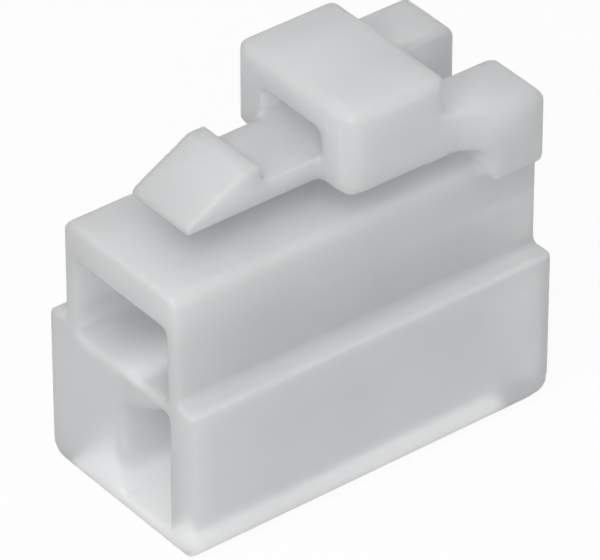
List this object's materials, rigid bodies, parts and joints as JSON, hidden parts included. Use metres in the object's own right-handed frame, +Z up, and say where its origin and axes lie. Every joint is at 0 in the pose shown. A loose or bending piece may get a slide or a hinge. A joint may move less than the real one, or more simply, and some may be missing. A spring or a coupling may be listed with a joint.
{
  "type": "wire to board connector housing",
  "caption": "Moulded receptacle housing for flat tab terminals: one flat and one upright chamber in a stepped body, under a latch lever with a ramped hook, a press pad and guard ears.",
  "frame": {"origin": "centre of the bounding box at the bottom of the housing", "axes": "+X from the mating face to the wire face, +Y across the housing, +Z up from the bottom to the latch lever"},
  "size_m": [0.025, 0.013, 0.0234],
  "materials": {
    "housing": "satin natural nylon, milky and slightly translucent"
  },
  "bodies": {
    "root": {"housing": "housing"}
  },
  "joints": []
}
